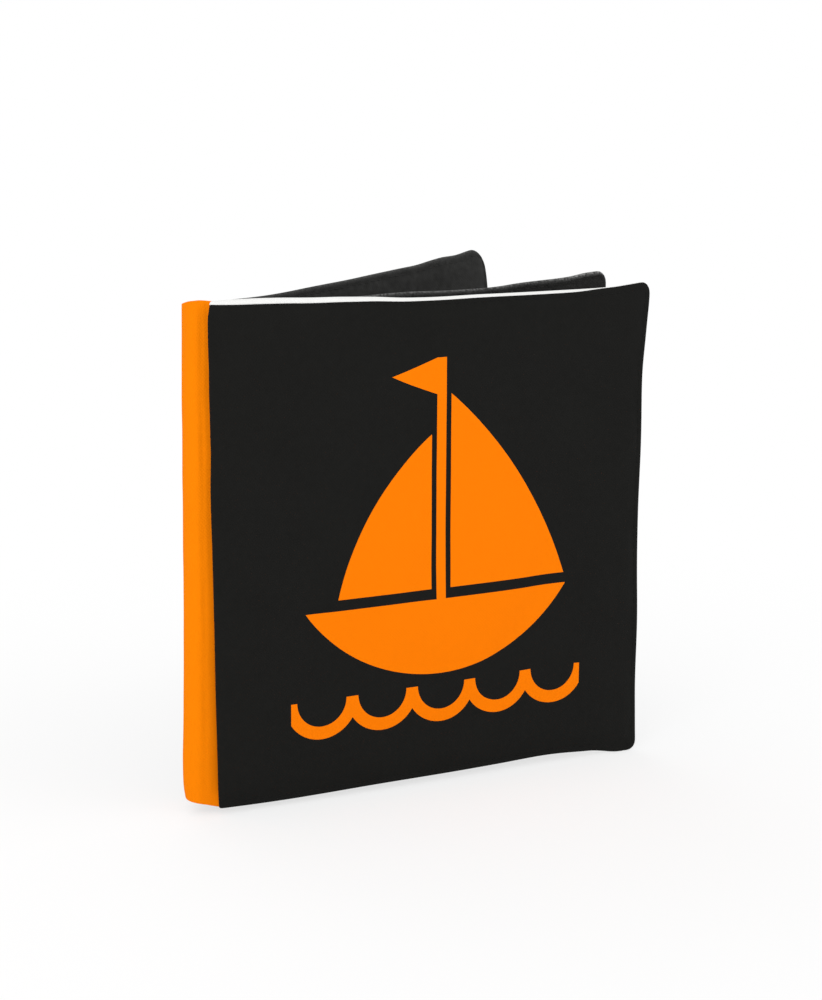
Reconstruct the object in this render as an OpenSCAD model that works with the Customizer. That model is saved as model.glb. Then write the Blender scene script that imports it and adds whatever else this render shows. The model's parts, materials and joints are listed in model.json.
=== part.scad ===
// Crinkle book: a baby's cloth book of three padded leaves, standing fanned open on a table.
// Each leaf is two cloth panels sewn together round their edges, with a crinkling film inside.
// The covers turn on the seams of a bulging cloth spine, and the page is sewn to its middle.
// Origin: on the table, midway between the two cover seams. +X runs along the page, +Z is up.

/* [Leaves] */
// Width of a leaf, from its seam at the spine to its free edge
leaf_w = 150; // [130:1:190]
// Height of a leaf as it stands
leaf_h = 150; // [130:1:190]
// Thickness of a padded leaf
leaf_t = 4.6; // [3.6:0.2:6]
// Radius of a leaf's corners
corner_r = 5; // [4:0.5:12]
// Thickness of a leaf's cloth
cloth_t = 0.8; // [0.5:0.1:1.2]
// How far the front cover's white lining stands above its black cloth
lining_rise = 1.2; // [0.4:0.2:3]
// How far the page's free edge stops short of the covers
page_inset = 1; // [0:0.5:6]
// How deep the table presses the round bottom edges flat
rest_flat = 0.4; // [0.2:0.1:0.6]

/* [Spine] */
// Distance between the seams that the two covers turn on
seam_spacing = 16; // [14:0.5:26]
// How far the spine bulges out beyond the seams
spine_bulge = 6.6; // [5:0.2:9]
// Thickness of the spine's doubled cloth
spine_t = 1.2; // [0.8:0.1:1.6]
// Gap left at a sewn seam
seam_gap = 0.3; // [0.2:0.05:0.5]

/* [Fan] */
// Angle between the page and the front cover
front_angle = 4.2; // [3:0.2:30]
// Angle between the page and the back cover
back_angle = 19; // [5:0.2:60]

/* [Crinkle film] */
// Thickness of the film
film_t = 0.3; // [0.2:0.05:0.5]
// Width of one crinkle
crinkle_pitch = 6; // [4:0.5:12]
// Border of a leaf that the film doesn't reach
film_margin = 6; // [4:0.5:12]

/* [Boat print] */
// Thickness of the printed layer
print_t = 0.25; // [0.15:0.05:0.4]
// Length of the hull along its deck
hull_w = 92; // [60:1:110]
// Depth of the hull
hull_d = 24; // [14:1:30]
// Height of the main sail
main_h = 60; // [40:1:65]
// Foot of the main sail
main_foot = 42; // [24:1:50]
// Height of the fore sail
fore_h = 48; // [30:1:55]
// Foot of the fore sail
fore_foot = 32; // [18:1:40]
// How far the sails' outer edges belly out
sail_belly = 5; // [1:0.5:8]
// Width of the mast
mast_w = 3.2; // [2:0.2:6]
// Clear space between neighbouring printed shapes
print_gap = 3.4; // [2:0.2:5]
// Height of the pennant above the main sail
pennant_h = 11; // [6:0.5:14]
// Length of the pennant
pennant_l = 17; // [8:0.5:24]
// Width of the wave line
wave_t = 4; // [2:0.2:6]
// Length of one wave
wave_pitch = 20.5; // [14:0.5:24]
// Number of waves
wave_count = 5; // [3:1:5]

/* [Hidden] */
$fn = 96;
eps = 0.01;
panel_d = leaf_t / 2;
seam_y = seam_spacing / 2;
// The spine's cloth ends clear of the round seam edges of the covers
spine_half = seam_y - panel_d - seam_gap;
spine_edge_x = -panel_d / 4;
spine_rise = spine_bulge + spine_edge_x;
spine_r = (spine_half * spine_half + spine_rise * spine_rise) / (2 * spine_rise);
spine_axis_x = spine_r - spine_bulge;
// The page runs from the inside of the spine to just short of the covers' free edges
page_root_x = spine_t + seam_gap - spine_bulge;
page_w = leaf_w - panel_d - page_inset - page_root_x;
// The print stands midway up the cover
print_above = print_gap + main_h + pennant_h;
print_below = hull_d + print_gap + (wave_pitch + wave_t) / 2;
deck_z = (leaf_h - print_above + print_below) / 2;

// Centre and radius of the circle through p and q whose arc stands out by belly on the line's right
function belly_centre(p, q, belly) =
    let (along = (q - p) / norm(q - p))
    (p + q) / 2 + (belly_radius(p, q, belly) - belly) * [-along.y, along.x];
function belly_radius(p, q, belly) =
    let (half = norm(q - p) / 2)
    (half * half + belly * belly) / (2 * belly);

// Height of the film's crinkles at fold i, uneven so that no two neighbours are alike
function crinkle(i) = (i % 2 == 0 ? 1 : -1) * (0.72 + 0.28 * sin(i * 137));

// Section of a panel's border: flat for the inner part, then rolled round to the seam
module border_section(r, d) {
    square([r - d, d]);
    translate([r - d, 0])
        intersection() {
            circle(d);
            square(d);
        }
}

// One straight border of a panel, along +X, with its rolled edge towards -Z
module border_run(length, r, d) {
    rotate([0, 90, 0])
        linear_extrude(length)
            border_section(r, d);
}

// Solid with one flat face at depth d and rolled edges and corners, standing on the X axis
module padded_block(w, h, d, r) {
    translate([r, 0, r]) {
        cube([w - 2 * r, d, h - 2 * r]);
        border_run(w - 2 * r, r, d);
    }
    translate([w - r, 0, h - r])
        rotate([0, 180, 0])
            border_run(w - 2 * r, r, d);
    translate([r, 0, h - r])
        rotate([0, 90, 0])
            border_run(h - 2 * r, r, d);
    translate([w - r, 0, r])
        rotate([0, -90, 0])
            border_run(h - 2 * r, r, d);
    for (corner = [[r, r, 90], [r, h - r, 180], [w - r, h - r, 270], [w - r, r, 0]])
        translate([corner.x, 0, corner.y])
            rotate([0, corner.z, 0])
                rotate([-90, 0, 0])
                    rotate_extrude(angle = 90)
                        border_section(r, d);
}

// Cloth panel of a leaf: hollow behind its face, open at the seam plane y = 0, pressed flat where it stands
module cloth_panel(w, h) {
    intersection() {
        translate([0, 0, -rest_flat])
            difference() {
                padded_block(w, h + rest_flat, panel_d, corner_r);
                translate([cloth_t, -eps, cloth_t])
                    padded_block(w - 2 * cloth_t, h + rest_flat - 2 * cloth_t,
                        panel_d - cloth_t + eps, corner_r - cloth_t);
            }
        translate([-w, -w, 0])
            cube([3 * w, 3 * w, 2 * h]);
    }
}

// Crumpled film that fills the pocket between a leaf's two panels
module crinkle_film(w, h) {
    run = w - 2 * film_margin;
    folds = floor(run / (crinkle_pitch / 2));
    swing = panel_d - cloth_t - film_t - seam_gap / 2;
    ridge = [for (i = [0 : folds]) [i * run / folds, swing * crinkle(i)]];
    back = [for (i = [folds : -1 : 0]) ridge[i] + [0, film_t]];
    translate([film_margin, -film_t / 2, film_margin])
        linear_extrude(h - 2 * film_margin)
            polygon(concat(ridge, back));
}

// Places a cover's pieces: the seam at y = side * seam_y, opened by angle away from the page
module hinged(side, angle) {
    translate([0, side * seam_y, 0])
        rotate([0, 0, side * angle])
            translate([-panel_d, 0, 0])
                children();
}

module facing_front() {
    mirror([0, 1, 0]) children();
}

// Sail with its upright edge on x = 0, its foot on the X axis and its outer edge bellied out
module sail(foot, height) {
    top = [0, height];
    clew = [foot, 0];
    intersection() {
        translate(belly_centre(clew, top, sail_belly))
            circle(belly_radius(clew, top, sail_belly));
        square([foot + sail_belly, height]);
    }
}

module boat_hull() {
    r = (hull_w * hull_w / 4 + hull_d * hull_d) / (2 * hull_d);
    intersection() {
        translate([0, r - hull_d]) circle(r);
        translate([-hull_w / 2, -hull_d]) square([hull_w, hull_d]);
    }
}

// Row of scallops, each a half ring that meets the next at its tip
module waves() {
    mid_r = wave_pitch / 2;
    for (i = [0 : wave_count - 1])
        translate([(i - (wave_count - 1) / 2) * wave_pitch, 0])
            intersection() {
                difference() {
                    circle(mid_r + wave_t / 2);
                    circle(mid_r - wave_t / 2);
                }
                translate([-mid_r, -wave_pitch]) square([wave_pitch, wave_pitch]);
            }
}

module rig() {
    translate([-mast_w / 2, -hull_d / 2]) square([mast_w, hull_d / 2 + print_above]);
    translate([0, print_above - pennant_h]) polygon([[0, 0], [0, pennant_h], [-pennant_l, pennant_h / 2]]);
}

module boat() {
    sail_x = mast_w / 2 + print_gap / 2;
    boat_hull();
    rig();
    translate([sail_x, print_gap]) sail(main_foot, main_h);
    translate([-sail_x, print_gap]) mirror([1, 0]) sail(fore_foot, fore_h);
    translate([0, -hull_d - print_gap]) waves();
}

// Orange strip that bulges out between the two cover seams
module spine_strip() {
    color([0.99, 0.53, 0.01])
        linear_extrude(leaf_h)
            intersection() {
                translate([spine_axis_x, 0])
                    difference() {
                        circle(spine_r);
                        circle(spine_r - spine_t);
                    }
                translate([-2 * spine_r, -spine_r]) square([2 * spine_r + spine_edge_x, 2 * spine_r]);
            }
}

module page_front_cloth() {
    color([0.14, 0.14, 0.14])
        translate([page_root_x, 0, 0])
            facing_front() cloth_panel(page_w, leaf_h);
}

module page_back_cloth() {
    color([0.14, 0.14, 0.14])
        translate([page_root_x, 0, 0])
            cloth_panel(page_w, leaf_h);
}

module page_film() {
    color([0.8, 0.85, 0.9])
        translate([page_root_x, 0, 0])
            crinkle_film(page_w, leaf_h);
}

module front_cover_cloth() {
    color([0.1, 0.1, 0.1])
        hinged(-1, front_angle)
            facing_front() cloth_panel(leaf_w, leaf_h - lining_rise);
}

module front_cover_lining() {
    color([0.95, 0.95, 0.93])
        hinged(-1, front_angle)
            cloth_panel(leaf_w, leaf_h);
}

module front_cover_film() {
    color([0.8, 0.85, 0.9])
        hinged(-1, front_angle)
            crinkle_film(leaf_w, leaf_h - lining_rise);
}

module front_cover_print() {
    color([0.98, 0.48, 0.01])
        hinged(-1, front_angle)
            translate([leaf_w / 2, -panel_d, deck_z])
                rotate([90, 0, 0])
                    linear_extrude(print_t)
                        boat();
}

module back_cover_cloth() {
    color([0.1, 0.1, 0.1])
        hinged(1, back_angle)
            cloth_panel(leaf_w, leaf_h);
}

module back_cover_lining() {
    color([0.14, 0.14, 0.14])
        hinged(1, back_angle)
            facing_front() cloth_panel(leaf_w, leaf_h);
}

module back_cover_film() {
    color([0.8, 0.85, 0.9])
        hinged(1, back_angle)
            crinkle_film(leaf_w, leaf_h);
}

spine_strip();
page_front_cloth();
page_back_cloth();
page_film();
front_cover_cloth();
front_cover_lining();
front_cover_film();
front_cover_print();
back_cover_cloth();
back_cover_lining();
back_cover_film();
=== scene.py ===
# Looks of a cloth crinkle book: three padded leaves on a bulging spine, with a boat printed on the front.
# A leaf is modelled flat in its own plane: x from its seam at the spine, y through its thickness, z up.
import json
import math
from dataclasses import dataclass

import bmesh
import bpy
from mathutils import Matrix, Vector, noise
from mathutils.bvhtree import BVHTree


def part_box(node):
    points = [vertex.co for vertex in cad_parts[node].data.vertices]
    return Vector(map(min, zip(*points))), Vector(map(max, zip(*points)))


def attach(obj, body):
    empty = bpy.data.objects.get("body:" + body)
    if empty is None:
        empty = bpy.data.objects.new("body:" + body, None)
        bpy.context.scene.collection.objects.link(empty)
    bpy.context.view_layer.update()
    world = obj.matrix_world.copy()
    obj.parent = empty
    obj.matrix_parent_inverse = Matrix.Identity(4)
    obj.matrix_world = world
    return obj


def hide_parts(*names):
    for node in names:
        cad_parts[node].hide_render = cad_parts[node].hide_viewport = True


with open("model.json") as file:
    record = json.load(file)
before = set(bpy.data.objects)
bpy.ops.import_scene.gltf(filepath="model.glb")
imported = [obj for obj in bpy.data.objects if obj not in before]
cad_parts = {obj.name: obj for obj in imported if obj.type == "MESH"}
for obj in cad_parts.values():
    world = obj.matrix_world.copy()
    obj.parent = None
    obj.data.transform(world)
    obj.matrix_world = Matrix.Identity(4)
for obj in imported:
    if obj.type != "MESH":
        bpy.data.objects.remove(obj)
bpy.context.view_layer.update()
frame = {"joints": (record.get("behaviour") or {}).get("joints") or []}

MM = 0.001

# Sizes that the frame gives
PAGE_LOW, PAGE_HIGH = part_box("page_front_cloth")
SPINE_LOW, SPINE_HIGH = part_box("spine_strip")
LEAF_H = SPINE_HIGH.z
PANEL_D = -PAGE_LOW.y
SEAMS = {joint["child"]: Vector(joint["pos_m"]).to_2d() for joint in frame["joints"]}

# Leaves
COVER_W = 150 * MM
FRONT_ANGLE = math.radians(4.2)
BACK_ANGLE = math.radians(19)
SEAM_CORNER_R = 0.8 * MM
CLOTH_T = 0.35 * MM
HEM_HALF = 1.35 * MM
STITCH_HALF = 1.1 * MM
FACE_HALF = 2.05 * MM
STITCH_IN = 2 * MM
HEM_RISE = 5 * MM
GRID_STEP = 2.6 * MM
WHITE_LINE_ROW = 3
CURL_FROM = 0.6
CURL_HEIGHT = 0.14
SEAM_REACH = 0.12
WRAP_ROW = 3
WELD = 0.001 * MM
# The hem's ridge is painted lighter: partly worn fibres, partly a painted highlight where the light falls
# on it.
WEAR_AND_HIGHLIGHT_FULL = 0.35 * MM
WEAR_AND_HIGHLIGHT_GONE = 0.75 * MM
HEM_ROWS = [s * MM for s in (0, 0.18, 0.62, 1.25, 2, 2.75, 3.7, 5, 6.6)]
SEAM_ROWS = [PANEL_D * (1 - math.cos(math.radians(a))) for a in (0, 22.5, 45, 67.5, 90)]

# How the photographed leaves have settled: (share of the edge, millimetres)
FRONT_TOP = (
    (0, 3), (0.04, 3.05), (0.09, 3.05), (0.15, 2.9), (0.22, 2.45), (0.28, 2.3), (0.35, 1.85),
    (0.42, 0.95), (0.49, 0.75), (0.57, 0.82), (0.63, 0.77), (0.77, 0.65), (0.84, 0.58), (0.91, 0.68),
    (0.95, 1.1), (0.98, 1.5), (1, 1.55),
)
FRONT_FOOT = (
    (0, 2.1), (0.1, 1.75), (0.19, 1.7), (0.37, 2.1), (0.56, 2.2), (0.66, 2.35), (0.757, 2.7),
    (0.81, 2.5), (0.87, 1.9), (0.89, 1.75), (0.925, 0.8), (0.945, 0.15), (0.96, 0.05), (1, 0.05),
)
FRONT_FREE = (
    (0, -0.9), (0.03, -0.7), (0.1, -0.3), (0.3, 0), (0.42, -0.2), (0.53, -0.1), (0.64, 0.4),
    (0.81, 0.65), (0.88, 1.45), (0.92, 2), (0.95, 2.55), (0.975, 2.8), (1, 2.6),
)
FRONT_SEAM = (
    (0, 0.85), (0.106, 0.76), (0.186, 0.55), (0.27, 0.4), (0.346, 0.36), (0.43, 0.22), (0.52, 0.05),
    (0.586, -0.17), (0.65, -0.27), (0.706, 0), (0.75, -0.1), (0.79, -0.17), (0.826, -0.28),
    (0.87, -0.24), (0.91, -0.38), (0.95, -0.4), (0.97, -0.36), (0.985, 0), (1, 0.25),
)
STRAIGHT = ((0, 0), (1, 0))
PAGE_TOP = (
    (0, -0.6), (0.2, 0.1), (0.32, 0.5), (0.39, 1), (0.485, 1.2), (0.583, 0.85), (0.667, 0.75),
    (0.72, 0.95), (0.783, 1.75), (0.887, 2.3), (0.953, 3.5), (0.977, 3.9), (1, 3.9),
)
PAGE_FOOT = ((0, 4), (0.1, 2.9), (0.3, 0.9), (0.5, 0), (1, 0))
PAGE_FREE = ((0, 0), (0.5, -0.3), (0.85, 0.4), (0.95, 0.6), (1, 0.5))
BACK_TOP = (
    (0, 0.5), (0.08, 0.5), (0.14, 0.5), (0.2, 0.4), (0.28, 0.55), (0.35, 0.85), (0.45, 1.65),
    (0.55, 2.35), (0.69, 3.75), (0.76, 4.25), (0.84, 5.5), (0.9, 5.75), (0.934, 6.45), (0.953, 7.1),
    (0.975, 7), (1, 6.1),
)
BACK_FOOT = ((0, 3.2), (0.1, 2.4), (0.3, 0.8), (0.6, 0), (1, 0))
BACK_FREE = ((0, 0), (0.5, 0.4), (0.75, 1.6), (0.87, 2.1), (1, 2))
WHITE_LINE = (
    (0, 1.05), (0.06, 1.55), (0.15, 1.63), (0.28, 1.48), (0.415, 1.08), (0.48, 0.95), (0.56, 0.9),
    (0.62, 0.85), (0.73, 0.83), (0.81, 0.75), (0.85, 0.45), (0.885, 0.15), (1, 0.12),
)

# How worn the hems are along the top and how strong the painted highlight on their ridge is, from 0 to 1
UNMARKED_HEM = STRAIGHT
PAGE_WEAR_AND_HIGHLIGHT = ((0, 0.43), (0.85, 0.47), (0.92, 1), (1, 1))
BACK_WEAR_AND_HIGHLIGHT = ((0, 0.07), (0.6, 0.18), (1, 0.14))
WEAR_AND_HIGHLIGHT_BELOW = 0.35
LIT_AND_HANDLED_FROM = 0.8

# How far from an edge its sag is felt, as shares of the leaf
SAG_REACH = 0.65
FREE_FROM = 0.4

# Ripples along the hems in millimetres, and creases in the upper corners. Grains are turns of noise.
RIPPLE = 0.3
RIPPLE_REACH = 8 * MM
RIPPLE_GRAIN = 45
CREASE_ALONG = 26
CREASE_SLANT = 6
CREASE_UP = 9

# Camera, solved from the photograph
CAMERA_PLACE = Vector((-353.9, -636.8, 225.8)) * MM
CAMERA_YAW = math.radians(33.8)
CAMERA_PITCH = math.radians(10.3)
LENS = 90.7
SENSOR = 36
CLIP_START = 10 * MM


def smooth(t):
    t = min(max(t, 0.0), 1.0)
    return t * t * (3 - 2 * t)


def curve_at(points, t):
    """Value at t of the soft curve through (place, value) points."""
    last = len(points) - 1
    i = max(k for k in range(last) if k == 0 or points[k][0] <= t)
    (a, p), (b, q) = points[i], points[i + 1]

    def slope(k):
        low, high = points[max(k - 1, 0)], points[min(k + 1, last)]
        return (high[1] - low[1]) / (high[0] - low[0])

    w = min(max((t - a) / (b - a), 0.0), 1.0)
    m, n = slope(i) * (b - a), slope(i + 1) * (b - a)
    return (
        p * (2 * w**3 - 3 * w**2 + 1)
        + m * (w**3 - 2 * w**2 + w)
        + q * (3 * w**2 - 2 * w**3)
        + n * (w**3 - w**2)
    )


def new_object(name, data):
    obj = bpy.data.objects.new(name, data)
    bpy.context.scene.collection.objects.link(obj)
    return obj


def mesh_of(bm, name):
    mesh = bpy.data.meshes.new(name)
    bm.to_mesh(mesh)
    bm.free()
    mesh.shade_smooth()
    return mesh


def thicken(obj, name, thickness, offset=-1):
    wall = obj.modifiers.new(name, "SOLIDIFY")
    wall.thickness = thickness
    wall.offset = offset


def soften(obj, levels):
    rounder = obj.modifiers.new("Soften", "SUBSURF")
    rounder.levels = levels
    rounder.render_levels = levels


@dataclass
class Leaf:
    """One padded leaf. Its curves and bends are in millimetres, its other lengths in metres."""

    body: str
    width: float
    place: Matrix
    top: tuple
    foot: tuple
    free: tuple
    seam: tuple
    wear_and_highlight: tuple
    outward: int
    bow: float
    ear: float
    hang: float
    crease: float
    corner_r: float
    swell: float
    crinkle: float
    seed: float

    def hem(self, x, z):
        """Distance from the nearest free edge of the flat leaf."""
        return min(self.width - x, z, LEAF_H - z)

    def half_thickness(self, x, z):
        rolled = math.sqrt(max(PANEL_D**2 - max(PANEL_D - x, 0) ** 2, 0)) / PANEL_D
        return rolled * hem_half(self.hem(x, z))

    def worn_and_lit(self, x, z):
        """How worn the cloth is and how strong the painted highlight on it is: both only on the ridge of
        the hem, most towards the top, where the light falls.
        """
        ridge = 1 - smooth((self.hem(x, z) - WEAR_AND_HIGHLIGHT_FULL) / (WEAR_AND_HIGHLIGHT_GONE - WEAR_AND_HIGHLIGHT_FULL))
        # Painted highlight: the mark grows towards the top, where the light falls on the ridge.
        upper = smooth((z / LEAF_H - LIT_AND_HANDLED_FROM) / (1 - LIT_AND_HANDLED_FROM))
        lit_and_handled = WEAR_AND_HIGHLIGHT_BELOW + (1 - WEAR_AND_HIGHLIGHT_BELOW) * upper
        return ridge * lit_and_handled * curve_at(self.wear_and_highlight, x / self.width)

    def bent(self, u, v):
        """How far the leaf has bent outwards: a bow along it, a creased ear and a hanging foot corner."""
        outer = smooth((u - CURL_FROM) / (1 - CURL_FROM))
        ear = max(v - 1 + CURL_HEIGHT, 0) / CURL_HEIGHT
        hang = max(CURL_HEIGHT - v, 0) / CURL_HEIGHT
        crease = noise.noise(Vector((u * CREASE_ALONG + v * CREASE_SLANT, v * CREASE_UP, self.seed)))
        crease *= self.crease * outer**2 * smooth(ear)
        curl = outer * (self.ear * ear**2 + self.hang * hang**2)
        return self.bow * math.sin(math.pi * u) ** 2 + curl + crease

    def settled(self, point):
        """Where a point of the flat leaf lies once the leaf has sagged and its corners stand out."""
        u, v = point.x / self.width, point.z / LEAF_H
        high = smooth((v - 1 + SAG_REACH) / SAG_REACH)
        low = smooth((SAG_REACH - v) / SAG_REACH)
        out = smooth((u - FREE_FROM) / (1 - FREE_FROM))
        seam = curve_at(self.seam, v) * smooth(1 - u / SEAM_REACH)
        edge = max(1 - self.hem(point.x, point.z) / RIPPLE_REACH, 0)
        ripple = noise.noise(Vector((point.x * RIPPLE_GRAIN, point.z * RIPPLE_GRAIN, self.seed)))
        ripple *= edge * RIPPLE
        return point + MM * Vector(
            (
                curve_at(self.free, v) * out + ripple * out + seam,
                self.bent(u, v) * self.outward,
                curve_at(self.top, u) * high + curve_at(self.foot, u) * low + ripple * high,
            )
        )


def hem_half(s):
    """Half thickness of a leaf at s from its free edge: round hem, stitched dip, then padded face."""
    if s < STITCH_IN:
        t = s / STITCH_IN
        return HEM_HALF * math.sqrt(1 - (1 - t) ** 2) - (HEM_HALF - STITCH_HALF) * t**4
    rise = math.sin(min((s - STITCH_IN) / HEM_RISE, 1) * math.pi / 2)
    return STITCH_HALF + (FACE_HALF - STITCH_HALF) * rise


def hinged(body, side, angle):
    """Where a cover stands: turned about its seam."""
    seam = SEAMS[body]
    return (
        Matrix.Translation((seam.x, seam.y, 0))
        @ Matrix.Rotation(side * angle, 4, "Z")
        @ Matrix.Translation((-PANEL_D, 0, 0))
    )


FRONT_COVER = Leaf(
    "front_cover", COVER_W, hinged("front_cover", -1, FRONT_ANGLE),
    FRONT_TOP, FRONT_FOOT, FRONT_FREE, FRONT_SEAM, UNMARKED_HEM,
    outward=-1, bow=1.2, ear=0, hang=1.5, crease=0.4,
    corner_r=3.2 * MM, swell=0.35 * MM, crinkle=0.1 * MM, seed=3.1,
)
PAGE = Leaf(
    "spine", PAGE_HIGH.x - PAGE_LOW.x, Matrix.Translation((PAGE_LOW.x, 0, 0)),
    PAGE_TOP, PAGE_FOOT, PAGE_FREE, STRAIGHT, PAGE_WEAR_AND_HIGHLIGHT,
    outward=-1, bow=0.6, ear=0, hang=0, crease=1.6,
    corner_r=4 * MM, swell=0.5 * MM, crinkle=0.2 * MM, seed=11.7,
)
BACK_COVER = Leaf(
    "back_cover", COVER_W, hinged("back_cover", 1, BACK_ANGLE),
    BACK_TOP, BACK_FOOT, BACK_FREE, STRAIGHT, BACK_WEAR_AND_HIGHLIGHT,
    outward=1, bow=2, ear=3.2, hang=1, crease=1.2,
    corner_r=5 * MM, swell=0.5 * MM, crinkle=0.2 * MM, seed=23.4,
)


def stations(length, start_rows, end_rows, step):
    """Places of the grid's lines: close together at both edges and even between them."""
    first, last = start_rows[-1], length - end_rows[-1]
    count = round((last - first) / step)
    even = [first + (last - first) * k / count for k in range(1, count)]
    return start_rows + even + [length - s for s in reversed(end_rows)]


def rounded_corner(leaf, x, z):
    """Moves a point near a corner of the flat leaf onto that corner's round."""
    for r, towards_x, corner_x in ((leaf.corner_r, 1, leaf.width), (SEAM_CORNER_R, -1, 0)):
        for towards_z, corner_z in ((1, LEAF_H), (-1, 0)):
            dx = r - (corner_x - x) * towards_x
            dz = r - (corner_z - z) * towards_z
            if dx > 0 and dz > 0:
                share = max(dx, dz) / math.hypot(dx, dz)
                x = corner_x + towards_x * (dx * share - r)
                z = corner_z + towards_z * (dz * share - r)
    return x, z


def flat_place(face, uv):
    """Middle of a face on the flat cloth, in metres."""
    middle = sum((loop[uv].uv for loop in face.loops), Vector((0, 0))) / len(face.loops)
    return middle * MM


def sewn_leaf(leaf):
    """Closed pillow of a leaf. Material 0 is the cloth of its front side and 1 that of its rear side."""
    xs = stations(leaf.width, SEAM_ROWS, HEM_ROWS, GRID_STEP)
    zs = stations(LEAF_H, HEM_ROWS, HEM_ROWS, GRID_STEP)
    bm = bmesh.new()
    bmesh.ops.create_grid(bm, x_segments=len(xs) - 1, y_segments=len(zs) - 1, size=1)
    uv = bm.loops.layers.uv.new("cloth")
    wear_and_highlight = bm.verts.layers.float.new("wear_and_highlight")
    for v in bm.verts:
        x = xs[round((v.co.x + 1) / 2 * (len(xs) - 1))]
        z = zs[round((v.co.y + 1) / 2 * (len(zs) - 1))]
        v[wear_and_highlight] = leaf.worn_and_lit(x, z)
        for loop in v.link_loops:
            loop[uv].uv = (x / MM, z / MM)
        round_x, round_z = rounded_corner(leaf, x, z)
        v.co = (round_x, -leaf.half_thickness(x, z), round_z)
    bmesh.ops.mirror(bm, geom=bm.verts[:] + bm.edges[:] + bm.faces[:], axis="Y", merge_dist=WELD)
    bmesh.ops.recalc_face_normals(bm, faces=bm.faces[:])
    if bm.calc_volume(signed=True) < 0:
        bmesh.ops.reverse_faces(bm, faces=bm.faces[:])
    for face in bm.faces:
        face.material_index = int(face.calc_center_median().y > 0)
    return bm


def line_up_white(bm, leaf):
    """Moves the rows of the front border, so that the lining rolls over as far as the white line."""
    row, last = HEM_ROWS[WHITE_LINE_ROW], HEM_ROWS[-1]
    uv = bm.loops.layers.uv["cloth"]
    for v in bm.verts:
        x, z = v.link_loops[0][uv].uv * MM
        s = LEAF_H - z
        if v.co.y < 0 and s < last:
            line = curve_at(WHITE_LINE, x / leaf.width) * MM
            if s < row:
                s = s * line / row
            else:
                s = last - (last - s) * (last - line) / (last - row)
            round_x, round_z = rounded_corner(leaf, x, LEAF_H - s)
            v.co = (round_x, -leaf.half_thickness(x, LEAF_H - s), round_z)


SEAM_EASE = 10 * MM
PUCKER = 0.16 * MM
PUCKER_FROM = STITCH_IN + 0.5 * MM
PUCKER_REACH = 11 * MM
PUCKER_START = 2 * MM
PUCKER_FADE = 8 * MM
PUCKER_GRAIN = 130
PUCKER_SIDE = 5
LUMP_GRAIN = 70
LUMP_SIDE = 3
FOLD_ALONG = 38
FOLD_SLANT = 17
FOLD_UP = 45
FOLD_SHARE = 0.6
FOLD_LEVEL = 0.4


def beyond_seam(x):
    """0 at the seam, which holds the cloth flat, and 1 from a little way along the leaf."""
    return smooth((x - PANEL_D) / SEAM_EASE)


def start_unevenly(bm, leaf):
    """Faint lumps where the film pushes, and puckers along the stitched edges."""

    def puckered(distance, along, side):
        starts = smooth((distance - PUCKER_FROM) / PUCKER_START)
        ends = smooth((PUCKER_REACH - distance) / PUCKER_FADE)
        waves = noise.noise(Vector((along * PUCKER_GRAIN, side * PUCKER_SIDE + leaf.seed, 0.5)))
        return starts * ends * waves

    for v in bm.verts:
        x, z = v.co.x, v.co.z
        side = math.copysign(1, v.co.y)
        own = side * LUMP_SIDE + leaf.seed
        lump = noise.noise(Vector((x * LUMP_GRAIN, own, z * LUMP_GRAIN)))
        fold = 1 - 2 * abs(noise.noise(Vector((x * FOLD_ALONG + z * FOLD_SLANT, own, z * FOLD_UP))))
        inside = smooth((leaf.hem(x, z) - STITCH_IN) / HEM_RISE)
        gather = puckered(min(z, LEAF_H - z), x, side) + puckered(leaf.width - x, z, side)
        uneven = leaf.crinkle * inside * (lump + FOLD_SHARE * fold - FOLD_LEVEL) + PUCKER * gather
        v.co.y += side * uneven * beyond_seam(x)


SIM_SCALE = 10
SIM_FRAMES = 20
HELD_WITHIN = STITCH_IN * 1.05


def simulate(bm, leaf):
    """Lets the leaf's cloth fill and crinkle between its stitched edges, which stay where they are."""
    mesh = bpy.data.meshes.new("leaf_at_work")
    bm.to_mesh(mesh)
    mesh.transform(Matrix.Scale(SIM_SCALE, 4))
    work = new_object("leaf_at_work", mesh)
    held = work.vertex_groups.new(name="held")
    for v in bm.verts:
        if leaf.hem(v.co.x, v.co.z) < HELD_WITHIN or v.co.x < PANEL_D:
            held.add([v.index], 1, "ADD")
    cloth = work.modifiers.new("Cloth", "CLOTH")
    cloth.collision_settings.use_collision = False
    cloth.point_cache.frame_end = SIM_FRAMES
    settings = cloth.settings
    settings.vertex_group_mass = "held"
    settings.mass = 0.1
    settings.quality = 6
    settings.tension_stiffness = 15
    settings.compression_stiffness = 15
    settings.shear_stiffness = 5
    settings.bending_stiffness = 2
    settings.use_pressure = True
    settings.uniform_pressure_force = 0.35
    settings.shrink_min = -0.006
    settings.effector_weights.gravity = 0
    for number in range(1, SIM_FRAMES + 1):
        bpy.context.scene.frame_set(number)
    filled = work.evaluated_get(bpy.context.evaluated_depsgraph_get()).to_mesh()
    for v, end in zip(bm.verts, filled.vertices):
        move = (end.co / SIM_SCALE - v.co) * beyond_seam(v.co.x)
        if move.length > 0:
            v.co += move * (leaf.swell * math.tanh(move.length / leaf.swell) / move.length)
    bpy.context.scene.frame_set(1)
    bpy.data.objects.remove(work)


def make_leaf(leaf, lined=False):
    bm = sewn_leaf(leaf)
    if lined:
        line_up_white(bm, leaf)
    start_unevenly(bm, leaf)
    bm.verts.index_update()
    simulate(bm, leaf)
    for v in bm.verts:
        v.co = leaf.settled(v.co)
    return bm


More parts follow.
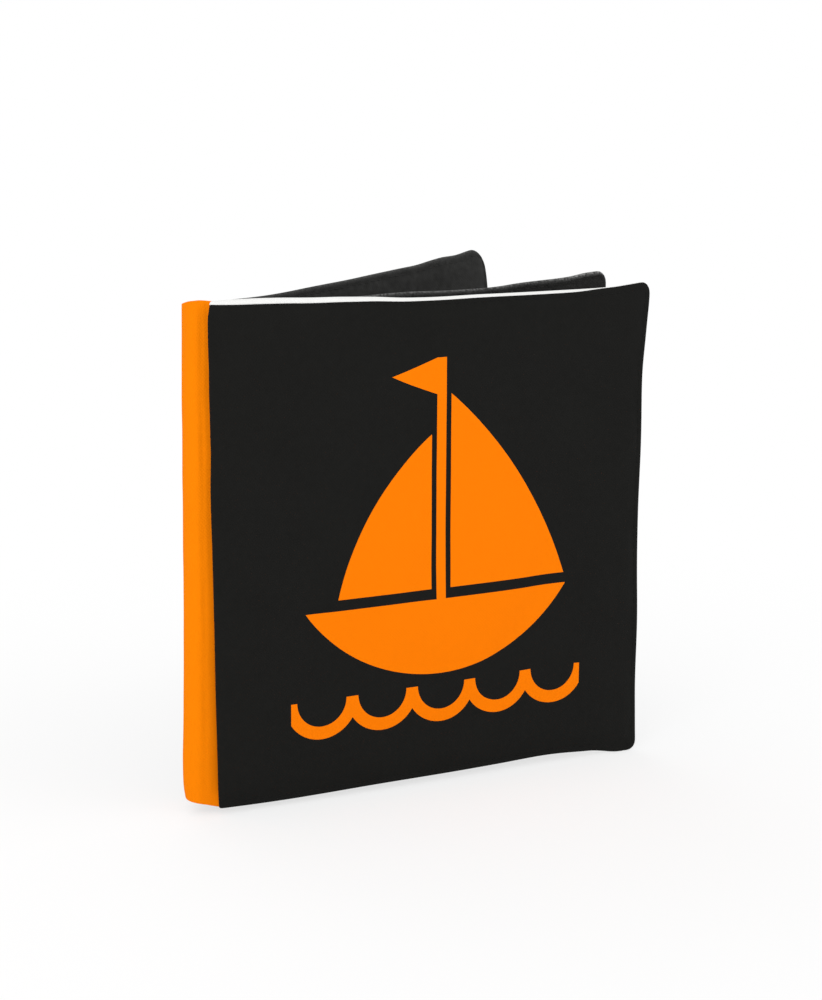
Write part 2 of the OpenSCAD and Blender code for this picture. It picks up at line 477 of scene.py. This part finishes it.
def cut_panel(bm, material, name):
    """One cloth of a leaf as its own piece."""
    panel = bm.copy()
    others = [f for f in panel.faces if f.material_index != material]
    bmesh.ops.delete(panel, geom=others, context="FACES")
    for face in panel.faces:
        face.material_index = 0
    obj = new_object(name, mesh_of(panel, name))
    soften(obj, 1)
    thicken(obj, "Cloth", CLOTH_T)
    return obj


def wrap_outer_cloth(bm, outer):
    """The outer cloth goes round the seam edge."""
    uv = bm.loops.layers.uv["cloth"]
    for face in bm.faces:
        place = flat_place(face, uv)
        if place.x < SEAM_ROWS[WRAP_ROW]:
            face.material_index = outer


def roll_lining_over_top(bm):
    """The lining goes over the top hem, as far as the white line."""
    uv = bm.loops.layers.uv["cloth"]
    for face in bm.faces:
        place = flat_place(face, uv)
        if place.y > LEAF_H - HEM_ROWS[WHITE_LINE_ROW]:
            face.material_index = 1


# Materials. A scale is in turns per millimetre of cloth, a share is of the cloth's tone.

FIBRE_SCALE = 2.2
FIBRE_SHARE = 0.4
MOTTLE_SCALE = 0.4
MOTTLE_SHARE = 0.35
PATCH_SCALE = 0.06
PATCH_SHARE = 0.25
# Share of painted shade in the weave: its hollows are painted darker and its crossings lighter.
WEAVE_SHADE_SHARE = 0.06
FUZZ_AND_GLINT_SCALE = 1.6
THREAD_RELIEF = 0.5
RELIEF = 0.6
# Light grey of the hem's ridge: worn fibres and a painted highlight.
WORN_AND_LIT_GREY = (0.34, 0.34, 0.335)
SEWING_PITCH = 0.2
SEWING_RELIEF = 0.03 * MM
FILM_GRAIN = 180
FILM_DIM = (0.76, 0.81, 0.86)
FILM_BRIGHT = (0.86, 0.89, 0.92)
FILM_CLEAR = 0.6


class Nodes:
    """A material's node tree, with short calls to add and join nodes."""

    def __init__(self, name):
        self.material = bpy.data.materials.new(name)
        self.material.use_nodes = True
        self.tree = self.material.node_tree
        self.shader = self.tree.nodes["Principled BSDF"]

    def add(self, kind, **settings):
        node = self.tree.nodes.new("ShaderNode" + kind)
        for key, value in settings.items():
            setattr(node, key, value)
        return node

    def join(self, source, target):
        self.tree.links.new(source, target)

    def math(self, operation, a, b=0.0):
        node = self.add("Math", operation=operation)
        for socket, value in zip(node.inputs, (a, b)):
            if isinstance(value, (int, float)):
                socket.default_value = value
            else:
                self.join(value, socket)
        return node.outputs[0]

    def flat_cloth(self):
        return self.add("UVMap", uv_map="cloth").outputs["UV"]

    def noise(self, vector, scale, detail=3.0, roughness=0.55):
        node = self.add("TexNoise")
        node.inputs["Scale"].default_value = scale
        node.inputs["Detail"].default_value = detail
        node.inputs["Roughness"].default_value = roughness
        self.join(vector, node.inputs["Vector"])
        return node.outputs["Fac"]

    def blend(self, share, low, high):
        node = self.add("Mix", data_type="RGBA")
        for socket, value in zip((node.inputs[0], node.inputs[6], node.inputs[7]), (share, low, high)):
            if isinstance(value, (int, float)):
                socket.default_value = value
            elif isinstance(value, tuple):
                socket.default_value = (*value, 1)
            else:
                self.join(value, socket)
        return node.outputs[2]

    def between(self, value, low, high, to_low, to_high):
        node = self.add("MapRange")
        for socket, number in zip(node.inputs[1:5], (low, high, to_low, to_high)):
            socket.default_value = number
        self.join(value, node.inputs[0])
        return node.outputs[0]


def weave(nodes, cloth, pitch):
    """Height of a plain weave: warp and weft threads that pass over each other in turn."""
    turn = nodes.add("VectorMath", operation="SCALE")
    turn.inputs["Scale"].default_value = math.pi / pitch
    nodes.join(cloth, turn.inputs[0])
    split = nodes.add("SeparateXYZ")
    nodes.join(turn.outputs[0], split.inputs[0])
    warp = nodes.math("SINE", split.outputs[0])
    weft = nodes.math("SINE", split.outputs[1])
    return nodes.math("MULTIPLY", warp, weft)


def scaled(colour, share):
    return tuple(c * share for c in colour)


def cloth_material(
    name, colour, fleck, pitch=0.55, depth=0.05 * MM, gloss=0.05, sheen=0.0, worn_and_lit_colour=None
):
    """Woven cotton: colour flecked by its fibres, painted shade in the weave's hollows, threads in
    relief, and worn fibres with a painted highlight along the hem's ridge.
    """
    nodes = Nodes(name)
    cloth = nodes.flat_cloth()
    threads = weave(nodes, cloth, pitch)
    fibres = nodes.noise(cloth, FIBRE_SCALE, detail=4)
    mottle = nodes.noise(cloth, MOTTLE_SCALE, detail=3)
    patches = nodes.noise(cloth, PATCH_SCALE, detail=2)
    tone = nodes.math("MULTIPLY", fibres, FIBRE_SHARE)
    # The weave's height darkens its hollows in the colour: painted shade.
    for part, share in ((mottle, MOTTLE_SHARE), (patches, PATCH_SHARE), (threads, WEAVE_SHADE_SHARE)):
        tone = nodes.math("ADD", tone, nodes.math("MULTIPLY", part, share))
    shade = nodes.between(tone, 0.36, 0.64, 0, 1)
    base = nodes.blend(shade, scaled(colour, 1 - fleck), scaled(colour, 1 + fleck))
    # The hem's ridge is mixed towards a light grey: worn fibres and a painted highlight.
    if worn_and_lit_colour:
        wear_and_highlight = nodes.add("Attribute", attribute_name="wear_and_highlight").outputs["Fac"]
        fuzz_and_glint = nodes.between(nodes.noise(cloth, FUZZ_AND_GLINT_SCALE, detail=5), 0.38, 0.62, 0.1, 1)
        base = nodes.blend(nodes.math("MULTIPLY", wear_and_highlight, fuzz_and_glint), base, worn_and_lit_colour)
    nodes.join(base, nodes.shader.inputs["Base Color"])
    nodes.join(nodes.between(fibres, 0.3, 0.7, 0.78, 0.95), nodes.shader.inputs["Roughness"])
    nodes.shader.inputs["Specular IOR Level"].default_value = gloss
    nodes.shader.inputs["Sheen Weight"].default_value = sheen
    nodes.shader.inputs["Sheen Roughness"].default_value = 0.4
    bump = nodes.add("Bump")
    bump.inputs["Strength"].default_value = RELIEF
    bump.inputs["Distance"].default_value = depth
    height = nodes.math("ADD", nodes.math("MULTIPLY", threads, THREAD_RELIEF), fibres)
    nodes.join(height, bump.inputs["Height"])
    nodes.join(bump.outputs["Normal"], nodes.shader.inputs["Normal"])
    return nodes.material


def thread_material(name, colour, fleck):
    return cloth_material(name, colour, fleck, pitch=SEWING_PITCH, depth=SEWING_RELIEF)


def film_material():
    nodes = Nodes("clear_crinkle_film")
    crumple = nodes.noise(nodes.add("TexCoord").outputs["Object"], FILM_GRAIN)
    nodes.join(nodes.between(crumple, 0.3, 0.7, 0.12, 0.3), nodes.shader.inputs["Roughness"])
    nodes.join(nodes.blend(crumple, FILM_DIM, FILM_BRIGHT), nodes.shader.inputs["Base Color"])
    nodes.shader.inputs["Transmission Weight"].default_value = FILM_CLEAR
    return nodes.material


BLACK_COTTON = cloth_material("black_cotton", (0.0108, 0.0108, 0.01), 0.1, sheen=0.01)
# The page has the lining's charcoal cloth, painted darker: painted shade of the gap between the leaves.
SHADED_PAGE_COTTON = cloth_material(
    "shaded_charcoal_page_cotton",
    (0.0185, 0.0185, 0.018),
    0.6,
    depth=0.06 * MM,
    sheen=0.02,
    worn_and_lit_colour=WORN_AND_LIT_GREY,
)
LINING_COTTON = cloth_material(
    "charcoal_lining_cotton",
    (0.029, 0.029, 0.028),
    0.4,
    depth=0.06 * MM,
    sheen=0.02,
    worn_and_lit_colour=WORN_AND_LIT_GREY,
)
WHITE_COTTON = cloth_material("white_cotton", (0.87, 0.87, 0.855), 0.02, gloss=0.1)
ORANGE_COTTON = cloth_material("orange_spine_cotton", (0.97, 0.236, 0.0012), 0.025, pitch=0.5, gloss=0.03)
BOAT_INK = cloth_material("orange_boat_ink", (0.97, 0.207, 0.001), 0.012, depth=0.03 * MM, gloss=0.03)
BLACK_THREAD = thread_material("black_thread", (0.0125, 0.0125, 0.012), 0.2)
# The page's thread is painted darker to match its cloth: painted shade.
SHADED_PAGE_THREAD = thread_material("shaded_charcoal_thread", (0.021, 0.021, 0.02), 0.2)
WHITE_THREAD = thread_material("white_thread", (0.84, 0.84, 0.825), 0.03)
LINING_THREAD = thread_material("charcoal_lining_thread", (0.032, 0.032, 0.031), 0.2)
CLEAR_FILM = film_material()


def finish_piece(obj, leaf, material, slot, *nodes):
    obj.data.transform(leaf.place)
    obj.data.materials.clear()
    obj.data.materials.append(material)
    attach(obj, leaf.body)
    if nodes:
        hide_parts(*nodes)


# Stitching

STITCH_PITCH = 3.0 * MM
STITCH_SIZE = Vector((1.1, 0.2, 0.16)) * MM
STITCH_START = 4 * MM
STITCH_TURN = 0.5 * MM
RAY_START = 50 * MM


def stitch_path(leaf):
    """Places and directions of the stitches, along the foot, up the free edge and back along the top."""
    r = max(leaf.corner_r - STITCH_IN, STITCH_TURN)
    left, right = STITCH_START, leaf.width - STITCH_IN
    low, high = STITCH_IN, LEAF_H - STITCH_IN
    run_x, run_z, turn = right - r - left, high - low - 2 * r, r * math.pi / 2
    total = 2 * run_x + run_z + 2 * turn
    count = round(total / STITCH_PITCH)
    for k in range(count):
        t = total * (k + 0.5) / count
        if t < run_x:
            place, heading = (left + t, low), 0
        elif t < run_x + turn:
            heading = (t - run_x) / r
            place = right - r + r * math.sin(heading), low + r - r * math.cos(heading)
        elif t < run_x + turn + run_z:
            place, heading = (right, low + r + t - run_x - turn), math.pi / 2
        elif t < run_x + 2 * turn + run_z:
            heading = math.pi / 2 + (t - run_x - turn - run_z) / r
            place = right - r + r * math.sin(heading), high - r - r * math.cos(heading)
        else:
            place, heading = (right - r - (t - run_x - 2 * turn - run_z), high), math.pi
        yield Vector((place[0], 0, place[1])), Vector((math.cos(heading), 0, math.sin(heading)))


def surface_of(panel):
    return BVHTree.FromObject(panel, bpy.context.evaluated_depsgraph_get())


def lay_on(surface, point, side):
    """The surface's point and normal at point's x and z, seen from outside."""
    start = Vector((point.x, side * RAY_START, point.z))
    hit, normal, _, _ = surface.ray_cast(start, Vector((0, -side, 0)))
    return hit, normal


def add_stitch(bm, hit, normal, along):
    """One stitch of thread, lying on the cloth."""
    across = normal.cross(along).normalized()
    along = across.cross(normal)
    turned = Matrix((along, across, normal)).transposed().to_4x4()
    place = Matrix.Translation(hit) @ turned @ Matrix.Diagonal((*STITCH_SIZE, 1))
    bmesh.ops.create_uvsphere(bm, u_segments=8, v_segments=4, radius=1, matrix=place)


def stitch_row(leaf, panel, side, name):
    surface = surface_of(panel)
    bm = bmesh.new()
    for place, along in stitch_path(leaf):
        hit, normal = lay_on(surface, leaf.settled(place), side)
        if hit is not None:
            add_stitch(bm, hit, normal, along)
    uv = bm.loops.layers.uv.new("cloth")
    for face in bm.faces:
        for loop in face.loops:
            loop[uv].uv = (loop.vert.co.x / MM, loop.vert.co.z / MM)
    return new_object(name, mesh_of(bm, name))


# Print

PRINT_MID = COVER_W / 2
PRINT_LIFT = 0.03 * MM
PRINT_T = 0.04 * MM
PRINT_STEP = 1.6 * MM
PRINT_SNAP = 0.01 * MM
PRINT_WELD = 0.05 * MM
HULL_W = 92 * MM
HULL_D = 24 * MM
MAIN_H = 60 * MM
MAIN_FOOT = 42 * MM
FORE_H = 48 * MM
FORE_FOOT = 32 * MM
SAIL_BELLY = 5 * MM
MAST_W = 3.2 * MM
PRINT_GAP = 3.4 * MM
PENNANT_H = 11 * MM
PENNANT_L = 17 * MM
WAVE_T = 4 * MM
WAVE_PITCH = 20.5 * MM
WAVE_COUNT = 5
PRINT_ABOVE = PRINT_GAP + MAIN_H + PENNANT_H
PRINT_BELOW = HULL_D + PRINT_GAP + (WAVE_PITCH + WAVE_T) / 2
DECK_Z = (LEAF_H - PRINT_ABOVE + PRINT_BELOW) / 2


def keep_side(bm, place, towards):
    """Cuts the shape along a line through place and keeps what lies towards that direction."""
    bmesh.ops.bisect_plane(
        bm,
        geom=bm.verts[:] + bm.edges[:] + bm.faces[:],
        plane_co=(*place, 0),
        plane_no=(*towards, 0),
        clear_inner=True,
    )


def disc(centre, radius, segments=160):
    bm = bmesh.new()
    bmesh.ops.create_circle(
        bm, cap_ends=True, radius=radius, segments=segments, matrix=Matrix.Translation((*centre, 0))
    )
    return bm


def sail(foot, height):
    clew, top = Vector((foot, 0)), Vector((0, height))
    half = (top - clew).length / 2
    radius = (half**2 + SAIL_BELLY**2) / (2 * SAIL_BELLY)
    outward = Vector((height, foot)).normalized()
    bm = disc((clew + top) / 2 - outward * (radius - SAIL_BELLY), radius)
    keep_side(bm, (0, 0), (1, 0))
    keep_side(bm, (0, 0), (0, 1))
    return bm


def boat_hull():
    radius = (HULL_W**2 / 4 + HULL_D**2) / (2 * HULL_D)
    bm = disc((0, radius - HULL_D), radius)
    keep_side(bm, (0, 0), (0, -1))
    return bm


def mast_and_pennant():
    side = MAST_W / 2
    corners = [
        (-side, 0),
        (side, 0),
        (side, PRINT_ABOVE),
        (-side, PRINT_ABOVE),
        (-PENNANT_L, PRINT_ABOVE - PENNANT_H / 2),
        (-side, PRINT_ABOVE - PENNANT_H),
    ]
    bm = bmesh.new()
    bm.faces.new([bm.verts.new((x, y, 0)) for x, y in corners])
    return bm


def wave(number):
    mid = (number - (WAVE_COUNT - 1) / 2) * WAVE_PITCH
    radius = WAVE_PITCH / 2
    bm = bmesh.new()
    for edge in (radius + WAVE_T / 2, radius - WAVE_T / 2):
        bmesh.ops.create_circle(bm, radius=edge, segments=64)
    bmesh.ops.bridge_loops(bm, edges=bm.edges[:])
    keep_side(bm, (0, 0), (0, -1))
    keep_side(bm, (-radius, 0), (1, 0))
    keep_side(bm, (radius, 0), (-1, 0))
    bmesh.ops.translate(bm, verts=bm.verts[:], vec=(mid, -HULL_D - PRINT_GAP, 0))
    return bm


def sliced(bm):
    """Cuts a shape into small squares, so that it can follow the cloth."""
    for axis in (Vector((1, 0, 0)), Vector((0, 1, 0))):
        reach = [v.co.dot(axis) for v in bm.verts]
        for k in range(math.ceil(min(reach) / PRINT_STEP), math.ceil(max(reach) / PRINT_STEP)):
            bmesh.ops.bisect_plane(
                bm,
                geom=bm.verts[:] + bm.edges[:] + bm.faces[:],
                dist=PRINT_SNAP,
                plane_co=axis * k * PRINT_STEP,
                plane_no=axis,
            )
    return bm


def boat_shapes():
    sail_x = MAST_W / 2 + PRINT_GAP / 2
    main, fore = sail(MAIN_FOOT, MAIN_H), sail(FORE_FOOT, FORE_H)
    bmesh.ops.translate(main, verts=main.verts[:], vec=(sail_x, PRINT_GAP, 0))
    bmesh.ops.scale(fore, verts=fore.verts[:], vec=(-1, 1, 1))
    bmesh.ops.translate(fore, verts=fore.verts[:], vec=(-sail_x, PRINT_GAP, 0))
    return [boat_hull(), mast_and_pennant(), main, fore] + [wave(k) for k in range(WAVE_COUNT)]


def print_boat(leaf, panel):
    """The boat as one thin layer of ink, laid on the cover's cloth."""
    surface = surface_of(panel)
    gathered = bpy.data.meshes.new("boat_shape")
    bm = bmesh.new()
    for shape in boat_shapes():
        sliced(shape).to_mesh(gathered)
        shape.free()
        bm.from_mesh(gathered)
    bpy.data.meshes.remove(gathered)
    bmesh.ops.remove_doubles(bm, verts=bm.verts[:], dist=PRINT_WELD)
    uv = bm.loops.layers.uv.new("cloth")
    for v in bm.verts:
        flat = Vector((PRINT_MID + v.co.x, 0, DECK_Z + v.co.y))
        for loop in v.link_loops:
            loop[uv].uv = (flat.x / MM, flat.z / MM)
        hit, normal = lay_on(surface, leaf.settled(flat), -1)
        v.co = hit + normal * (PRINT_LIFT + PRINT_T)
    for face in bm.faces:
        face.normal_update()
        if face.normal.y > 0:
            face.normal_flip()
    for edge in bm.edges:
        edge.smooth = not edge.is_boundary
    obj = new_object("boat_print", mesh_of(bm, "boat_print"))
    thicken(obj, "Ink", PRINT_T)
    return obj


# Spine

SPINE_T = 1.2 * MM
SPINE_ROWS = [s * MM for s in (0, 0.25, 0.8, 2, 4)]
SPINE_STEP = 4 * MM
SPINE_AROUND = 36
SPINE_BULGE = (
    (0, 1.3), (0.03, 2.05), (0.075, 2.1), (0.11, 2.2), (0.16, 1.85), (0.25, 1.4), (0.36, 1),
    (0.48, 0.62), (0.57, 0.57), (0.66, 0.3), (0.75, 0.17), (0.84, 0.32), (0.92, -0.1), (1, -0.3),
)
SPINE_END = 25 * MM
GROOVE_ANGLE = math.radians(66)
GROOVE_WIDTH = math.radians(10)
GROOVE_DEPTH = 0.28 * MM
LIP_ANGLE = math.radians(82)
FRONT_LIP = 0.45 * MM
BACK_LIP = 0.58 * MM
BACK_REACH = 0.35 * MM
LOOSE_ANGLE = math.radians(40)
TUCK = 0.12 * MM
STRIP_PUCKER = 0.13 * MM
STRIP_PUCKER_AROUND = 1.5
STRIP_PUCKER_UP = 110
STRIP_PUCKER_SEED = 5.5
GROOVE_PUCKER = 0.8
STRIP_SLACK = 0.25 * MM
STRIP_SLACK_AROUND = 0.8
STRIP_SLACK_UP = 30
STRIP_SLACK_SEED = 9.5

# How far the strip's ends lie above the leaves': (share of the way from front to back, millimetres)
SPINE_TOP = ((0, 2.75), (0.17, 3), (0.3, 2.85), (0.41, 2.6), (0.5, 2.2), (0.68, 1.5), (1, 0.8))
SPINE_FOOT = ((0, 1.9), (0.13, 2.7), (0.29, 3.4), (0.46, 3.8), (0.68, 4.2), (1, 3))

SPINE_R = SPINE_HIGH.y
SPINE_AXIS_X = SPINE_LOW.x + SPINE_R
SPINE_REACH = math.acos((SPINE_AXIS_X - SPINE_HIGH.x) / SPINE_R)


def spine_place(angle, z):
    """Where a point of the flat strip lies on the spine. Its edges follow the seams and the thin hems."""
    side = abs(angle)
    groove = math.exp(-(((side - GROOVE_ANGLE) / GROOVE_WIDTH) ** 2))
    lip = smooth((side - LIP_ANGLE) / (SPINE_REACH - LIP_ANGLE))
    loose = smooth((LIP_ANGLE - side) / LOOSE_ANGLE)
    pucker = noise.noise(Vector((angle * STRIP_PUCKER_AROUND, z * STRIP_PUCKER_UP, STRIP_PUCKER_SEED)))
    slack = noise.noise(Vector((angle * STRIP_SLACK_AROUND, z * STRIP_SLACK_UP, STRIP_SLACK_SEED)))
    flare = FACE_HALF - max(hem_half(min(z, LEAF_H - z)), STITCH_HALF)
    if angle < 0:
        edge = FRONT_LIP
        seam = curve_at(FRONT_SEAM, z / LEAF_H) * MM
    else:
        edge = BACK_LIP
        seam = BACK_REACH
    r = SPINE_R + (edge + flare) * lip - TUCK * (1 - lip)
    r -= GROOVE_DEPTH * groove * (1 + GROOVE_PUCKER * pucker)
    r += (STRIP_PUCKER * pucker + STRIP_SLACK * slack) * loose
    bulge = curve_at(SPINE_BULGE, z / LEAF_H) * max(math.cos(angle), 0)
    share = (angle / SPINE_REACH + 1) / 2
    rise = curve_at(SPINE_TOP, share) * smooth((z - LEAF_H + SPINE_END) / SPINE_END)
    rise += curve_at(SPINE_FOOT, share) * smooth((SPINE_END - z) / SPINE_END)
    x = SPINE_AXIS_X - r * math.cos(angle) - bulge * MM + seam * lip
    return Vector((x, r * math.sin(angle), z + rise * MM))


def spine_band():
    """The orange strip, bent round between the two seams."""
    zs = stations(LEAF_H, SPINE_ROWS, SPINE_ROWS, SPINE_STEP)
    bm = bmesh.new()
    bmesh.ops.create_grid(bm, x_segments=SPINE_AROUND, y_segments=len(zs) - 1, size=1)
    uv = bm.loops.layers.uv.new("cloth")
    for v in bm.verts:
        angle = v.co.x * SPINE_REACH
        z = zs[round((v.co.y + 1) / 2 * (len(zs) - 1))]
        for loop in v.link_loops:
            loop[uv].uv = (angle * SPINE_R / MM, z / MM)
        v.co = spine_place(angle, z)
    for face in bm.faces:
        face.normal_update()
        outward = face.calc_center_median() - Vector((SPINE_AXIS_X, 0, LEAF_H / 2))
        if face.normal.dot(Vector((outward.x, outward.y, 0))) < 0:
            face.normal_flip()
    obj = new_object("spine_band", mesh_of(bm, "spine_band"))
    thicken(obj, "Doubled cloth", SPINE_T)
    soften(obj, 2)
    obj.data.materials.append(ORANGE_COTTON)
    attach(obj, "spine")
    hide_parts("spine_strip")


# Pieces


def make_front_cover():
    leaf = FRONT_COVER
    bm = make_leaf(leaf, lined=True)
    wrap_outer_cloth(bm, 0)
    roll_lining_over_top(bm)
    cloth = cut_panel(bm, 0, "front_cover_panel")
    lining = cut_panel(bm, 1, "front_cover_white_lining")
    bm.free()
    outer_row = stitch_row(leaf, cloth, -1, "front_cover_stitches")
    inner_row = stitch_row(leaf, lining, 1, "front_cover_lining_stitches")
    boat = print_boat(leaf, cloth)
    finish_piece(cloth, leaf, BLACK_COTTON, "cover_cloth", "front_cover_cloth")
    finish_piece(lining, leaf, WHITE_COTTON, "white_lining", "front_cover_lining")
    finish_piece(outer_row, leaf, BLACK_THREAD, "cover_cloth")
    finish_piece(inner_row, leaf, WHITE_THREAD, "white_lining")
    finish_piece(boat, leaf, BOAT_INK, "print")
    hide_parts("front_cover_print")


def make_page():
    leaf = PAGE
    bm = make_leaf(leaf)
    for material, side, name in ((0, -1, "front"), (1, 1, "back")):
        panel = cut_panel(bm, material, f"page_{name}_panel")
        row = stitch_row(leaf, panel, side, f"page_{name}_stitches")
        finish_piece(panel, leaf, SHADED_PAGE_COTTON, "page_cloth", f"page_{name}_cloth")
        finish_piece(row, leaf, SHADED_PAGE_THREAD, "page_cloth")
    bm.free()


def make_back_cover():
    leaf = BACK_COVER
    bm = make_leaf(leaf)
    wrap_outer_cloth(bm, 1)
    lining = cut_panel(bm, 0, "back_cover_inner_panel")
    cloth = cut_panel(bm, 1, "back_cover_panel")
    bm.free()
    inner_row = stitch_row(leaf, lining, -1, "back_cover_lining_stitches")
    outer_row = stitch_row(leaf, cloth, 1, "back_cover_stitches")
    finish_piece(lining, leaf, LINING_COTTON, "page_cloth", "back_cover_lining")
    finish_piece(cloth, leaf, BLACK_COTTON, "cover_cloth", "back_cover_cloth")
    finish_piece(inner_row, leaf, LINING_THREAD, "page_cloth")
    finish_piece(outer_row, leaf, BLACK_THREAD, "cover_cloth")


FILM_T = 0.12 * MM
FILM_MARGIN = 6 * MM
FILM_STEP = 2 * MM
FILM_ROOM = 0.85 * MM
FILM_FOLD = 1.5
FILM_FOLD_GRAIN = (95, 35, 80)
FILM_FACET = 1.4
FILM_FACET_GRAIN = (60, -40, 110)
FILM_FACET_SEED = 9
FILM_LEVEL = 0.35


def crinkle_film(leaf, name, node):
    """The crumpled film in a leaf's pocket. The spare area that its crumples take up is worked out but
    not used.
    """
    width, height = leaf.width - 2 * FILM_MARGIN, LEAF_H - 2 * FILM_MARGIN
    along, slant, up = FILM_FOLD_GRAIN
    facet_along, facet_slant, facet_up = FILM_FACET_GRAIN
    facet_seed = leaf.seed + FILM_FACET_SEED
    bm = bmesh.new()
    bmesh.ops.create_grid(
        bm, x_segments=round(width / FILM_STEP), y_segments=round(height / FILM_STEP), size=0.5
    )
    for v in bm.verts:
        x, z = leaf.width / 2 + v.co.x * width, LEAF_H / 2 + v.co.y * height
        fold = noise.noise(Vector((x * along + z * slant, leaf.seed, z * up)))
        facet = abs(noise.noise(Vector((x * facet_along, facet_seed, z * facet_up + x * facet_slant))))
        crumple = min(max(FILM_FOLD * fold + FILM_FACET * facet - FILM_LEVEL, -1), 1)
        room = max(leaf.half_thickness(x, z) - FILM_ROOM, 0)
        v.co = leaf.settled(Vector((x, room * crumple, z)))
    spare = sum(face.calc_area() for face in bm.faces) / (width * height)
    obj = new_object(name, mesh_of(bm, name))
    thicken(obj, "Film", FILM_T, offset=0)
    obj.data.transform(leaf.place)
    obj.data.materials.append(CLEAR_FILM)
    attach(obj, leaf.body)
    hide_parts(node)


# Studio

FLOOR_SIZE = 4.0
FLOOR_DROP = 0.05 * MM
FLOOR_GREY = (0.97, 0.97, 0.97, 1)
WHITE = (1, 1, 1, 1)
FLOOR_SHADOW = 0.3
SHADOW_NEAR = 0.1
SHADOW_FAR = 0.4
AMBIENT = 0.8
BOOK_MIDDLE = Vector((COVER_W / 2, 0, 0))
LIGHT_AIM = Vector((0.07, 0, 0.07))
SOFTBOX_SIZE = 0.9

# Name, place in metres and power in watts of each light
SOFTBOXES = (
    ("key_softbox", (-0.9, -0.9, 1.0), 6),
    ("fill_softbox", (0.9, -1.0, 0.6), 2),
    ("rear_softbox", (0.3, 1.2, 0.8), 3),
)


def background_rays(tree):
    """1 for the rays that see the background: from the camera, off gloss and through clear film."""
    path = tree.nodes.new("ShaderNodeLightPath")
    seen = path.outputs["Is Camera Ray"]
    for kind in ("Is Glossy Ray", "Is Transmission Ray"):
        either = tree.nodes.new("ShaderNodeMath")
        either.operation = "MAXIMUM"
        tree.links.new(seen, either.inputs[0])
        tree.links.new(path.outputs[kind], either.inputs[1])
        seen = either.outputs[0]
    return seen


def pale_floor():
    bm = bmesh.new()
    bmesh.ops.create_grid(bm, x_segments=1, y_segments=1, size=FLOOR_SIZE)
    bmesh.ops.translate(bm, verts=bm.verts[:], vec=(0, 0, -FLOOR_DROP))
    floor = new_object("studio_floor", mesh_of(bm, "studio_floor"))
    material = bpy.data.materials.new("pale_floor")
    material.use_nodes = True
    tree = material.node_tree
    tree.nodes.clear()
    shaded = tree.nodes.new("ShaderNodeBsdfDiffuse")
    shaded.inputs["Color"].default_value = FLOOR_GREY
    white = tree.nodes.new("ShaderNodeEmission")
    mixed = tree.nodes.new("ShaderNodeMixShader")
    place = tree.nodes.new("ShaderNodeTexCoord")
    distance = tree.nodes.new("ShaderNodeVectorMath")
    distance.operation = "DISTANCE"
    distance.inputs[1].default_value = BOOK_MIDDLE
    fade = tree.nodes.new("ShaderNodeMapRange")
    fade.interpolation_type = "SMOOTHSTEP"
    for socket, number in zip(fade.inputs[1:5], (SHADOW_NEAR, SHADOW_FAR, 1 - FLOOR_SHADOW, 1)):
        socket.default_value = number
    share = tree.nodes.new("ShaderNodeMath")
    share.operation = "MULTIPLY"
    output = tree.nodes.new("ShaderNodeOutputMaterial")
    tree.links.new(place.outputs["Object"], distance.inputs[0])
    tree.links.new(distance.outputs["Value"], fade.inputs[0])
    tree.links.new(background_rays(tree), share.inputs[0])
    tree.links.new(fade.outputs[0], share.inputs[1])
    tree.links.new(share.outputs[0], mixed.inputs[0])
    tree.links.new(shaded.outputs[0], mixed.inputs[1])
    tree.links.new(white.outputs[0], mixed.inputs[2])
    tree.links.new(mixed.outputs[0], output.inputs["Surface"])
    floor.data.materials.append(material)


def white_world():
    world = bpy.data.worlds.new("studio")
    bpy.context.scene.world = world
    world.use_nodes = True
    tree = world.node_tree
    tree.nodes.clear()
    ambient = tree.nodes.new("ShaderNodeBackground")
    ambient.inputs["Strength"].default_value = AMBIENT
    ambient.inputs["Color"].default_value = WHITE
    white = tree.nodes.new("ShaderNodeBackground")
    white.inputs["Color"].default_value = WHITE
    mixed = tree.nodes.new("ShaderNodeMixShader")
    output = tree.nodes.new("ShaderNodeOutputWorld")
    tree.links.new(background_rays(tree), mixed.inputs[0])
    tree.links.new(ambient.outputs[0], mixed.inputs[1])
    tree.links.new(white.outputs[0], mixed.inputs[2])
    tree.links.new(mixed.outputs[0], output.inputs["Surface"])


def softbox(name, place, power):
    lamp = bpy.data.lights.new(name, "AREA")
    lamp.energy = power
    lamp.size = SOFTBOX_SIZE
    obj = new_object(name, lamp)
    obj.location = place
    aim = LIGHT_AIM - obj.location
    obj.rotation_euler = aim.to_track_quat("-Z", "Y").to_euler()


def studio_camera():
    data = bpy.data.cameras.new("camera")
    data.lens = LENS
    data.sensor_width = SENSOR
    data.clip_start = CLIP_START
    camera = new_object("camera", data)
    camera.location = CAMERA_PLACE
    camera.rotation_euler = (math.pi / 2 - CAMERA_PITCH, 0, -CAMERA_YAW)
    bpy.context.scene.camera = camera


make_front_cover()
make_page()
make_back_cover()
spine_band()
crinkle_film(FRONT_COVER, "front_cover_crinkle_film", "front_cover_film")
crinkle_film(PAGE, "page_crinkle_film", "page_film")
crinkle_film(BACK_COVER, "back_cover_crinkle_film", "back_cover_film")
pale_floor()
white_world()
for name, place, power in SOFTBOXES:
    softbox(name, place, power)
studio_camera()
bpy.context.scene.view_settings.view_transform = "Standard"
